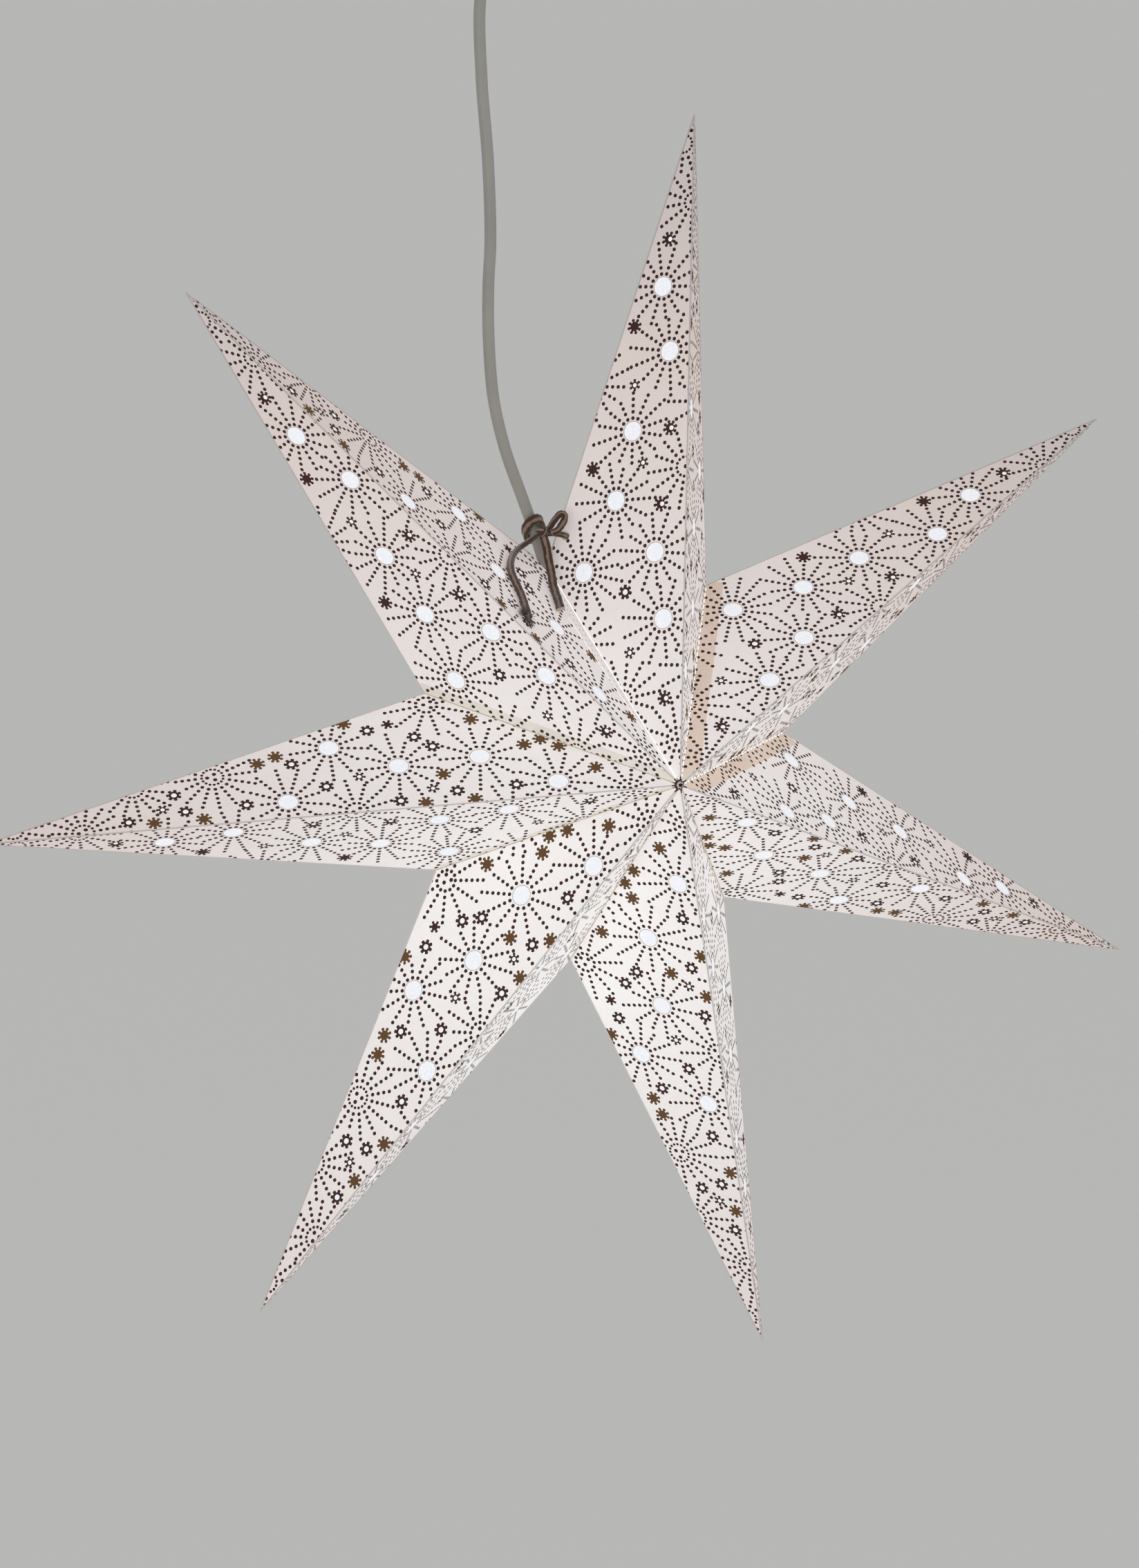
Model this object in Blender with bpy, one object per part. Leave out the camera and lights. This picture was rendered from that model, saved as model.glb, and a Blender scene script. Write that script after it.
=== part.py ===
"""Seven-pointed folded paper star lantern on a cable, with its lampholder, bulb and ceiling fitting.

Every length is in metres and +Z is up. The origin is the centre of the bracket's top face, which
screws to the ceiling. The front of the star faces -Y, and its arms count clockwise from the top one.
"""

from math import cos, pi, radians, sin, tau

import bmesh
import bpy
from mathutils import Vector

# Paper star
ARMS = 7
TIP_RADIUS = 0.300
VALLEY_RADIUS = 0.095
HALF_DEPTH = 0.0875
FIRST_TIP = radians(9.1)
PAPER = 0.0003
CREASE_GAP = 0.0006
CABLE_NOTCH = 0.0078
STAR_CENTRE = Vector((0.012, 0.0, -0.510))

# Cable, and the point of the ceiling fitting that it swings about
CABLE_RADIUS = 0.0027
PIVOT_Z = -0.0475
CABLE_STEP = 0.0125

# Lampholder and bulb, on one upright line inside the star
LAMP = STAR_CENTRE + Vector((-0.020, 0.0, 0.0))
HOLDER_TOP = 0.0542

# Ceiling cup
CUP_RADIUS = 0.040
CUP_WALL = 0.0015
CUP_DEPTH = 0.046
CUP_RIM = 0.0006

# Tie cord round the seam, its knot, and the punched hole that it goes through: along and across arm 1
TIE_RADIUS = 0.0016
TIE_SPACING = 0.0045
KNOT_RADIUS = 0.0032
HOOP_RISE = 0.0052
TIE_HOLE = (0.120, 0.063)
TIE_HOLE_RADIUS = 0.0021

GAP = 0.0003


# Scene and materials

def clear_scene():
    for item in list(bpy.data.objects):
        bpy.data.objects.remove(item, do_unlink=True)


def material(name, colour, roughness=0.5, metallic=0.0, transmission=0.0):
    made = bpy.data.materials.new(name)
    made.use_nodes = True
    shader = made.node_tree.nodes["Principled BSDF"]
    shader.inputs["Base Color"].default_value = (*colour, 1.0)
    shader.inputs["Roughness"].default_value = roughness
    shader.inputs["Metallic"].default_value = metallic
    shader.inputs["Transmission Weight"].default_value = transmission
    return made


def add(name, mesh, finish, place=(0.0, 0.0, 0.0)):
    mesh.materials.append(finish)
    item = bpy.data.objects.new(name, mesh)
    item.location = place
    bpy.context.scene.collection.objects.link(item)
    return item


def mesh_from(name, form):
    bmesh.ops.recalc_face_normals(form, faces=form.faces)
    mesh = bpy.data.meshes.new(name)
    form.to_mesh(mesh)
    form.free()
    return mesh


# Basic solids

def turned(name, profile, finish, place, segments=28):
    """A solid turned about +Z. The profile is a closed loop of (radius, height); radius 0 is on the axis."""
    form = bmesh.new()
    rings = []
    for radius, height in profile:
        if radius == 0.0:
            rings.append([form.verts.new((0.0, 0.0, height))] * segments)
            continue
        turns = [tau * k / segments for k in range(segments)]
        rings.append([form.verts.new((radius * cos(t), radius * sin(t), height)) for t in turns])
    for lower, upper in zip(rings, rings[1:] + rings[:1]):
        for k in range(segments):
            n = (k + 1) % segments
            corners = [lower[k], lower[n], upper[n], upper[k]]
            corners = list(dict.fromkeys(corners))
            if len(corners) > 2:
                form.faces.new(corners)
    mesh = mesh_from(name, form)
    mesh.shade_smooth()
    mesh.set_sharp_from_angle(angle=radians(35))
    return add(name, mesh, finish, place)


def block(name, size, centre, finish):
    form = bmesh.new()
    bmesh.ops.create_cube(form, size=1.0)
    bmesh.ops.scale(form, vec=size, verts=form.verts)
    return add(name, mesh_from(name, form), finish, centre)


def plate(name, outline, normal, thickness, finish, origin):
    """A flat sheet of the given thickness, centred on the plane of its outline."""
    form = bmesh.new()
    half = normal * (thickness / 2)
    upper = [form.verts.new(p - origin + half) for p in outline]
    lower = [form.verts.new(p - origin - half) for p in outline]
    form.faces.new(upper)
    form.faces.new(lower[::-1])
    for k in range(len(outline)):
        n = (k + 1) % len(outline)
        form.faces.new((upper[k], lower[k], lower[n], upper[n]))
    return add(name, mesh_from(name, form), finish, origin)


def drill(target, centre, radius, length, axis):
    """Cuts a round hole through the target along the given axis."""
    form = bmesh.new()
    bmesh.ops.create_cone(form, cap_ends=True, segments=20, radius1=radius, radius2=radius, depth=length)
    cutter = bpy.data.objects.new(target.name + "_cutter", mesh_from(target.name + "_cutter", form))
    cutter.rotation_mode = "QUATERNION"
    cutter.rotation_quaternion = Vector((0, 0, 1)).rotation_difference(Vector(axis))
    cutter.location = centre
    cutter.hide_render = True
    cutter.display_type = "WIRE"
    bpy.context.scene.collection.objects.link(cutter)
    cut = target.modifiers.new("hole", "BOOLEAN")
    cut.operation = "DIFFERENCE"
    cut.solver = "EXACT"
    cut.object = cutter


def smooth_route(route, spacing):
    """Evenly spaced points on a Catmull-Rom curve through the route."""
    points = [Vector(p) for p in route]
    points = [2 * points[0] - points[1]] + points + [2 * points[-1] - points[-2]]
    fine = []
    for a, b, c, d in zip(points, points[1:], points[2:], points[3:]):
        for k in range(24):
            t = k / 24
            fine.append(0.5 * (2 * b + (c - a) * t + (2 * a - 5 * b + 4 * c - d) * t ** 2
                               + (3 * b - a - 3 * c + d) * t ** 3))
    fine.append(points[-2])
    lengths = [0.0]
    for p, q in zip(fine, fine[1:]):
        lengths.append(lengths[-1] + (q - p).length)
    count = max(4, round(lengths[-1] / spacing))
    even = []
    at = 0
    for k in range(count + 1):
        wanted = lengths[-1] * k / count
        while at < len(fine) - 2 and lengths[at + 1] < wanted:
            at += 1
        share = (wanted - lengths[at]) / (lengths[at + 1] - lengths[at])
        even.append(fine[at].lerp(fine[at + 1], min(share, 1.0)))
    return even


def tube(name, route, radius, spacing, finish, smoothness=2):
    curve = bpy.data.curves.new(name, "CURVE")
    curve.dimensions = "3D"
    curve.bevel_depth = radius
    curve.bevel_resolution = smoothness
    curve.use_fill_caps = True
    points = smooth_route(route, spacing)
    origin = points[0].copy()
    spline = curve.splines.new("POLY")
    spline.points.add(len(points) - 1)
    for point, where in zip(spline.points, points):
        point.co = (*(where - origin), 1.0)
    return add(name, curve, finish, origin)


# Paper star: each arm has four flat panels, two in front and two behind

def in_star_plane(radius, angle):
    return STAR_CENTRE + Vector((radius * sin(angle), 0.0, radius * cos(angle)))


def tip(arm):
    return in_star_plane(TIP_RADIUS, FIRST_TIP + tau * arm / ARMS)


def valley(arm):
    """The valley point clockwise of an arm."""
    return in_star_plane(VALLEY_RADIUS, FIRST_TIP + tau * arm / ARMS + pi / ARMS)


def inset(corners, distance):
    """Moves the edges of a convex outline inwards by a distance."""
    moved = []
    for k, corner in enumerate(corners):
        back = (corners[k - 1] - corner).normalized()
        on = (corners[(k + 1) % len(corners)] - corner).normalized()
        moved.append(corner + (back + on) * (distance / back.cross(on).length))
    return moved


def panel(arm, depth, side, finish):
    """One flat panel of an arm. It turns on a crease that runs through the object's origin."""
    apex = STAR_CENTRE + Vector((0.0, -HALF_DEPTH if depth == "front" else HALF_DEPTH, 0.0))
    point = tip(arm)
    hollow = valley(arm) if side == "right" else valley(arm - 1)
    at_seam = (arm, side) in ((0, "left"), (ARMS - 1, "right"))
    if at_seam:
        to_apex = (apex - hollow).normalized()
        to_point = (point - hollow).normalized()
        corners = [apex, point, hollow + to_point * CABLE_NOTCH, hollow + to_apex * CABLE_NOTCH]
    else:
        corners = [apex, point, hollow]
    normal = (point - apex).cross(hollow - apex).normalized()
    origin = apex if depth == "front" else hollow
    name = f"arm_{arm + 1}_{depth}_{side}"
    return plate(name, inset(corners, CREASE_GAP), normal, PAPER, finish, origin)


def tie_hole():
    """Middle of the punched hole near the seam, and the outward direction of the paper there."""
    apex = STAR_CENTRE + Vector((0.0, -HALF_DEPTH, 0.0))
    along = (tip(0) - apex).normalized()
    hollow = valley(-1) - apex
    across = (hollow - along * hollow.dot(along)).normalized()
    out = across.cross(along).normalized()
    if out.dot(apex - STAR_CENTRE) < 0:
        out.negate()
    return apex + along * TIE_HOLE[0] + across * TIE_HOLE[1], out


def paper_star():
    finish = material("printed_paper", (0.84, 0.79, 0.77), 0.85)
    for arm in range(ARMS):
        for depth in ("front", "back"):
            for side in ("left", "right"):
                made = panel(arm, depth, side, finish)
                if made.name == "arm_1_front_left":
                    centre, out = tie_hole()
                    drill(made, centre, TIE_HOLE_RADIUS, 0.01, out)


# Cable

def cable():
    """Hangs from the ceiling fitting and bends in through the seam at the top left of the star."""
    finish = material("cable_grey", (0.30, 0.29, 0.27), 0.45)
    pivot = Vector((0.0, 0.0, PIVOT_Z))
    in_star = [
        (-0.0150, 0.0000, 0.4420),
        (-0.0230, 0.0000, 0.4200),
        (-0.0380, 0.0000, 0.3950),
        (-0.0530, 0.0000, 0.3720),
        (-0.0596, 0.0000, 0.3490),
        (-0.0590, 0.0000, 0.3140),
        (-0.0560, 0.0000, 0.2780),
        (-0.0548, 0.0000, 0.2433),
        (-0.0559, 0.0000, 0.2200),
        (-0.0558, 0.0000, 0.1969),
        (-0.0536, 0.0000, 0.1700),
        (-0.0478, 0.0000, 0.1460),
        (-0.0395, 0.0000, 0.1240),
        (-0.0338, 0.0000, 0.1090),
        (-0.0289, 0.0000, 0.0943),
        (-0.0243, 0.0000, 0.0790),
        (-0.0212, 0.0000, 0.0670),
        (-0.0200, 0.0000, HOLDER_TOP + GAP),
    ]
    route = [pivot] + [STAR_CENTRE + Vector(p) for p in in_star]
    tube("cable", route, CABLE_RADIUS, CABLE_STEP, finish)
    top = pivot + Vector((0.0, 0.0, 0.0022))
    tube("cable_in_cup", [top, (0.0, 0.0, -0.036), (0.001, 0.0, -0.026), (0.001, 0.0, -0.0208)],
         CABLE_RADIUS, CABLE_STEP / 2, finish)


# Tie cord that closes the seam round the cable

def tie_cord():
    finish = material("velvet_brown", (0.16, 0.10, 0.06), 0.9)
    along = Vector((-0.0338, 0.0, 0.1090)) - Vector((-0.0395, 0.0, 0.1240))
    hoop("tie_band", STAR_CENTRE + Vector((-0.0336, 0.0, 0.1085)), -along.normalized(), finish)
    knot = [(KNOT_RADIUS * cos(radians(a)), KNOT_RADIUS * sin(radians(a))) for a in range(-75, 90, 15)]
    profile = [(0.0, -KNOT_RADIUS)] + knot + [(0.0, KNOT_RADIUS)]
    turned("tie_knot", profile, finish, STAR_CENTRE + Vector((-0.0325, -0.0069, 0.1080)), 16)
    left = [(-0.0362, -0.0080, 0.1060), (-0.0403, -0.0092, 0.1039), (-0.0457, -0.0110, 0.1013),
            (-0.0515, -0.0170, 0.0988), (-0.0563, -0.0254, 0.0956), (-0.0580, -0.0314, 0.0919),
            (-0.0577, -0.0366, 0.0874), (-0.0578, -0.0422, 0.0830), (-0.0589, -0.0493, 0.0781),
            (-0.0596, -0.0534, 0.0752)]
    right = [(-0.0316, -0.0082, 0.1039), (-0.0306, -0.0080, 0.1006), (-0.0299, -0.0084, 0.0956),
             (-0.0296, -0.0108, 0.0898), (-0.0310, -0.0166, 0.0839), (-0.0322, -0.0239, 0.0789),
             (-0.0333, -0.0298, 0.0749)]
    loop = [(-0.0292, -0.0076, 0.1099), (-0.0280, -0.0078, 0.1126), (-0.0262, -0.0080, 0.1152),
            (-0.0239, -0.0084, 0.1168), (-0.0220, -0.0090, 0.1156), (-0.0223, -0.0098, 0.1128),
            (-0.0242, -0.0105, 0.1102), (-0.0263, -0.0109, 0.1083), (-0.0283, -0.0108, 0.1073)]
    for name, route in (("tie_tail_left", left), ("tie_tail_right", right), ("tie_loop", loop)):
        tube(name, [STAR_CENTRE + Vector(p) for p in route], TIE_RADIUS, TIE_SPACING, finish)
    centre, out = tie_hole()
    start = [STAR_CENTRE + Vector(p) for p in ((-0.0292, -0.0052, 0.1066), (-0.0262, -0.0056, 0.1068))]
    through = [centre + out * reach for reach in (0.0024, 0.0010, -0.0008, -0.0020)]
    tube("tie_stay", start + through, TIE_RADIUS, TIE_SPACING / 3, finish)


def hoop(name, centre, along, finish, turns=32, sides=10):
    """A ring of tie cord round the cable, higher in front of it than behind."""
    across = Vector((0, 1, 0)).cross(along)
    reach = CABLE_RADIUS + 1.5 * GAP + TIE_RADIUS
    form = bmesh.new()
    rings = []
    for k in range(turns):
        a = tau * k / turns
        outward = across * cos(a) - Vector((0, 1, 0)) * sin(a)
        course = (outward.cross(along) * reach + along * (HOOP_RISE * cos(a))).normalized()
        upright = outward.cross(course)
        middle = outward * reach + along * (HOOP_RISE * sin(a))
        rings.append([form.verts.new(middle + (outward * cos(t) + upright * sin(t)) * TIE_RADIUS)
                      for t in (tau * n / sides for n in range(sides))])
    for ring, after in zip(rings, rings[1:] + rings[:1]):
        for n in range(sides):
            m = (n + 1) % sides
            form.faces.new((ring[n], ring[m], after[m], after[n]))
    mesh = mesh_from(name, form)
    mesh.shade_smooth()
    return add(name, mesh, finish, centre)


# Lampholder

def lampholder():
    shell = material("holder_plastic", (0.80, 0.79, 0.76), 0.4)
    ceramic = material("holder_ceramic", (0.86, 0.84, 0.78), 0.6)
    brass = material("contact_brass", (0.72, 0.52, 0.24), 0.35, 1.0)
    turned("holder_body", [(0.0140, -0.0030), (0.0145, 0.0300), (0.0130, 0.0300), (0.0124, -0.0030)],
           shell, LAMP)
    turned("holder_cap", [
        (0.0145, 0.0303), (0.0145, 0.0360), (0.0128, 0.0415), (0.0092, 0.0460), (0.0066, 0.0480),
        (0.0062, HOLDER_TOP), (0.0032, HOLDER_TOP), (0.0036, 0.0470), (0.0076, 0.0446),
        (0.0112, 0.0406), (0.0130, 0.0355), (0.0130, 0.0303),
    ], shell, LAMP)
    turned("holder_contact_block", [
        (0.0, 0.0262), (0.0, 0.0340), (0.0090, 0.0340), (0.0090, 0.0310), (0.0124, 0.0310),
        (0.0124, 0.0262),
    ], ceramic, LAMP, 24)
    turned("holder_screw_shell", [(0.0078, 0.0036), (0.0078, 0.0259), (0.0073, 0.0259), (0.0073, 0.0036)],
           brass, LAMP, 24)
    turned("holder_centre_contact", [(0.0, 0.0246), (0.0, 0.0259), (0.0034, 0.0259), (0.0024, 0.0246)],
           brass, LAMP, 16)
    turned("holder_cord_clamp", [(0.0, 0.0), (0.0, 0.0012), (0.0021, 0.0012), (0.0021, 0.0)],
           brass, LAMP + Vector((0.0, -0.00785, 0.0511)), 14).rotation_euler.x = radians(90)


# Bulb: it unscrews downwards

def bulb():
    glass = material("bulb_glass", (0.95, 0.94, 0.90), 0.1, 0.0, 0.8)
    nickel = material("bulb_cap_nickel", (0.70, 0.69, 0.66), 0.3, 1.0)
    black = material("bulb_insulator", (0.03, 0.03, 0.03), 0.3)
    amber = material("bulb_filament", (0.90, 0.60, 0.20), 0.5)
    turned("bulb_glass", bulb_profile(), glass, LAMP, 32)
    turned("bulb_cap", [
        (0.0064, 0.0048), (0.0069, 0.0060), (0.0069, 0.0200), (0.0058, 0.0212), (0.0052, 0.0206),
        (0.0062, 0.0195), (0.0062, 0.0066), (0.0058, 0.0048),
    ], nickel, LAMP, 24)
    turned("bulb_insulator", [(0.0, 0.0215), (0.0, 0.0236), (0.0026, 0.0236), (0.0055, 0.0215)],
           black, LAMP, 16)
    turned("bulb_contact", [(0.0, 0.0239), (0.0, 0.0243), (0.0021, 0.0243), (0.0024, 0.0239)],
           nickel, LAMP, 16)
    turned("bulb_stem", [
        (0.0, -0.0300), (0.0, 0.0040), (0.0040, 0.0040), (0.0034, -0.0010), (0.0016, -0.0100),
        (0.0012, -0.0300),
    ], glass, LAMP, 16)
    turned("bulb_filament", [
        (0.0060, -0.0290), (0.0078, -0.0290), (0.0078, -0.0110), (0.0060, -0.0110),
    ], amber, LAMP, 20)


def bulb_profile():
    """Outer skin from the pole up to the neck, then the inner skin back down."""
    ball = 0.0195
    middle = -0.0260
    wall = 0.0008
    turns = [radians(-90 + 13.5 * k) for k in range(11)]
    outer = [(ball * cos(t), middle + ball * sin(t)) for t in turns]
    inner = [((ball - wall) * cos(t), middle + (ball - wall) * sin(t)) for t in turns]
    outer[0] = (0.0, middle - ball)
    inner[0] = (0.0, middle - ball + wall)
    neck_outer = [(0.0090, -0.0040), (0.0066, 0.0045)]
    neck_inner = [(0.0058, 0.0045), (0.0082, -0.0042)]
    return outer + neck_outer + neck_inner + inner[::-1]


# Ceiling fitting

def ceiling_bracket(finish):
    """A strip with an ear bent down at each end, cut as one profile and given its width."""
    half, width, sheet, drop = 0.0370, 0.018, 0.0015, 0.012
    outline = [(-half, 0.0), (half, 0.0), (half, -drop), (half - sheet, -drop), (half - sheet, -sheet),
               (-half + sheet, -sheet), (-half + sheet, -drop), (-half, -drop)]
    points = [Vector((x, 0.0, z)) for x, z in outline]
    bracket = plate("ceiling_bracket", points, Vector((0, 1, 0)), width, finish, Vector((0, 0, 0)))
    for x in (-0.024, 0.024):
        drill(bracket, (x, 0.0, -sheet / 2), 0.0024, 0.01, (0, 0, 1))
    drill(bracket, (0.0, 0.0, -0.0075), 0.0017, 0.1, (1, 0, 0))


def ceiling_cup(finish):
    outer, inner = CUP_RADIUS, CUP_RADIUS - CUP_WALL
    floor = -CUP_DEPTH
    corner = 0.010
    turns = [radians(15 * k) for k in range(7)]
    outside = [(outer - corner + corner * cos(t), floor + corner - corner * sin(t)) for t in turns]
    inside = [(inner - corner + corner * cos(t), floor + CUP_WALL + corner - corner * sin(t)) for t in turns]
    hole = 0.0083
    profile = [(outer, -CUP_RIM)] + outside + [(hole, floor), (hole, floor + CUP_WALL)]
    profile += inside[::-1] + [(inner, -CUP_RIM)]
    cup = turned("ceiling_cup", profile, finish, (0, 0, 0), 40)
    drill(cup, (0.0, 0.0, -0.0075), 0.0018, 0.1, (1, 0, 0))


def cup_screws(finish):
    """A pan-head screw in each side of the cup, into the bracket's ear."""
    for name, side in (("cup_screw_left", -1), ("cup_screw_right", 1)):
        screw = turned(name, [
            (0.0, -0.0060), (0.0, 0.0022), (0.0022, 0.0018), (0.0031, 0.0004), (0.0031, GAP),
            (0.0014, GAP), (0.0014, -0.0060),
        ], finish, (side * CUP_RADIUS, 0.0, -0.0075), 14)
        screw.rotation_euler.y = side * radians(90)


def terminal_block():
    body = material("terminal_plastic", (0.82, 0.82, 0.80), 0.5)
    steel = material("terminal_steel", (0.62, 0.60, 0.56), 0.35, 1.0)
    block("terminal_block", (0.020, 0.016, 0.0165), (0.0, 0.0, -0.0120), body)
    for name, side in (("terminal_screw_live", -1), ("terminal_screw_neutral", 1)):
        screw = turned(name, [(0.0, 0.0), (0.0, 0.0016), (0.0019, 0.0016), (0.0019, 0.0)], steel,
                       (side * 0.0052, -0.0083, -0.0120), 14)
        screw.rotation_euler.x = radians(90)


def cord_grip():
    """A flanged bush in the cup's floor, with its nut above and a swivel ring that carries the cable."""
    finish = material("grip_plastic", (0.78, 0.77, 0.75), 0.4)
    floor = -CUP_DEPTH
    turned("cord_grip", [
        (0.0110, floor - 0.0023), (0.0110, floor - GAP), (0.0080, floor - GAP), (0.0080, -0.0390),
        (0.0066, -0.0390), (0.0066, floor - 0.0023),
    ], finish, (0, 0, 0))
    turned("cord_grip_nut", [
        (0.0120, -0.0442), (0.0120, -0.0412), (0.0083, -0.0412), (0.0083, -0.0442),
    ], finish, (0, 0, 0), 24)
    turned("swivel_ring", [
        (0.0059, -0.0012), (0.0061, 0.0), (0.0059, 0.0012), (0.0043, 0.0012), (0.0043, -0.0012),
    ], finish, (0, 0, PIVOT_Z), 24)


def ceiling_fitting():
    painted = material("cup_white", (0.82, 0.81, 0.79), 0.35)
    steel = material("bracket_steel", (0.60, 0.60, 0.58), 0.35, 1.0)
    ceiling_bracket(steel)
    ceiling_cup(painted)
    cup_screws(steel)
    terminal_block()
    cord_grip()


clear_scene()
ceiling_fitting()
cable()
lampholder()
bulb()
tie_cord()
paper_star()
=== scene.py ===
"""Looks of the folded paper star lantern: camera, cords, printed paper, tie cord, lamp and ceiling fitting.

Metres, +Z up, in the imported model's frame. The star's front faces -Y and its arms count clockwise from
the top one. The print is laid out in each panel's own plane: u runs along the ridge from the middle of
the star to the tip, and v runs from the ridge towards the valley.
"""

from math import cos, pi, radians, sin, tau
from random import Random

import bmesh
import bpy
from mathutils import Matrix, Vector
from mathutils.geometry import delaunay_2d_cdt


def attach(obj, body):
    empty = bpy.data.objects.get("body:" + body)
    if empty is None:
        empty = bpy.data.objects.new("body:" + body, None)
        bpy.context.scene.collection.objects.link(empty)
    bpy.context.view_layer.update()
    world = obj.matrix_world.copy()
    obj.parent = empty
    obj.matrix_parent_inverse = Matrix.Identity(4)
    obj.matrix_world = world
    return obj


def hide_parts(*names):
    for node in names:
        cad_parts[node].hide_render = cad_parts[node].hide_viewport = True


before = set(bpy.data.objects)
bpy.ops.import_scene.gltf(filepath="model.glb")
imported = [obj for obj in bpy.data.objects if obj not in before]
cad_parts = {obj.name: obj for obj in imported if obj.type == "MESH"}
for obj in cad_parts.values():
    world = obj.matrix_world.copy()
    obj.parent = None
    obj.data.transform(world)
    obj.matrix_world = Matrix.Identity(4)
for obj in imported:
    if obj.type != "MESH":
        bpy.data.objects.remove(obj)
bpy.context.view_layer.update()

MM = 0.001

# Paper star
ARMS = 7
TIP_RADIUS = 0.300
VALLEY_RADIUS = 0.095
HALF_DEPTH = 0.0875
FIRST_TIP = radians(9.1)
SEAM_PANELS = ((0, "left"), (ARMS - 1, "right"))
PAPER = 0.0002
TISSUE = 0.00006
TISSUE_GAP = 0.00002
TISSUE_LAP = 1.12
CREASE_RADIUS = 0.00033
CREASE_SIDES = 6
CREASE_START = 0.0017
# Length of each crease's dark start at the star's point, painted shade of the hole there.
DARK_CREASE = 0.0040
POINT_RADIUS = 0.0010
SHORT_EDGE = 0.025
CABLE_NOTCH = 0.0078
STAR_CENTRE = Vector((0.012, 0.0, -0.510))

# Cable
CABLE_RADIUS = 0.0027
RELIEF_SIDES = 28
RELIEF_GROOVE = 0.00035
PIVOT = Vector((0.0, 0.0, -0.0475))

# Lamp
LAMP = STAR_CENTRE + Vector((-0.020, 0.0, 0.0))
HOLDER_TOP = 0.0542
BULB_MIDDLE = LAMP + Vector((0.0, 0.0, -0.026))
GLOW_MIDDLE = STAR_CENTRE + Vector((-0.020, 0.0, -0.080))

# Tie cord: a flat suede lace
LACE_WIDTH = 0.0036
LACE_THICKNESS = 0.0026
LACE_SIDES = 20
LACE_STEP = 0.0011
FIBRE_RADIUS = 0.00024
WRAP_THICKNESS = 0.0017
WRAP_STEPS = 24
HOOP_CENTRE = STAR_CENTRE + Vector((-0.0336, 0.0, 0.1085))
HOOP_AXIS = Vector((-0.355, 0.0, 0.935))
HOOP_REACH = 0.00475
HOOP_RISE = 0.0052
HOOP_STEPS = 48
KNOT = STAR_CENTRE + Vector((-0.0325, -0.0069, 0.1080))
TIE_HOLE = (120.0, 63.0)
TIE_HOLE_RADIUS = 2.1

GAP = 0.0003

# Room
FLOOR_Z = -2.4


# Camera, light and floor

def camera():
    data = bpy.data.cameras.new("camera")
    data.sensor_width = 36.0
    data.sensor_fit = "AUTO"
    data.lens = 130.05
    data.clip_end = 500.0
    item = bpy.data.objects.new("camera", data)
    item.location = STAR_CENTRE + Vector((-1.0779, -2.3651, 0.4027))
    item.rotation_euler = (radians(90.0 - 9.07), 0.0, radians(-24.19))
    bpy.context.scene.collection.objects.link(item)
    bpy.context.scene.camera = item


def area_light(name, place, aim, size, power, colour=(1.0, 1.0, 1.0)):
    data = bpy.data.lights.new(name, "AREA")
    data.shape = "DISK"
    data.size = size
    data.energy = power
    data.color = colour
    item = bpy.data.objects.new(name, data)
    item.location = place
    item.rotation_euler = (Vector(aim) - Vector(place)).to_track_quat("-Z", "Y").to_euler()
    bpy.context.scene.collection.objects.link(item)


def studio():
    world = bpy.data.worlds.new("studio")
    world.use_nodes = True
    world.node_tree.nodes["Background"].inputs["Color"].default_value = (1.0, 1.0, 1.0, 1.0)
    world.node_tree.nodes["Background"].inputs["Strength"].default_value = 0.53
    bpy.context.scene.world = world
    bpy.context.scene.view_settings.view_transform = "Standard"
    area_light("key", (-2.1, -2.6, -0.4), STAR_CENTRE, 2.0, 18.5)
    area_light("fill", (2.5, -2.1, -1.0), STAR_CENTRE, 2.0, 10.5)
    area_light("back", (0.8, 3.0, 0.8), STAR_CENTRE, 2.4, 16.0)
    bpy.ops.mesh.primitive_plane_add(size=400.0, location=(0.0, 0.0, FLOOR_Z))
    floor = bpy.context.object
    floor.name = "floor"
    paint = bpy.data.materials.new("floor")
    paint.use_nodes = True
    shader = paint.node_tree.nodes["Principled BSDF"]
    shader.inputs["Base Color"].default_value = (0.88, 0.88, 0.87, 1.0)
    shader.inputs["Roughness"].default_value = 0.9
    floor.data.materials.append(paint)


# Node graphs

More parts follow.
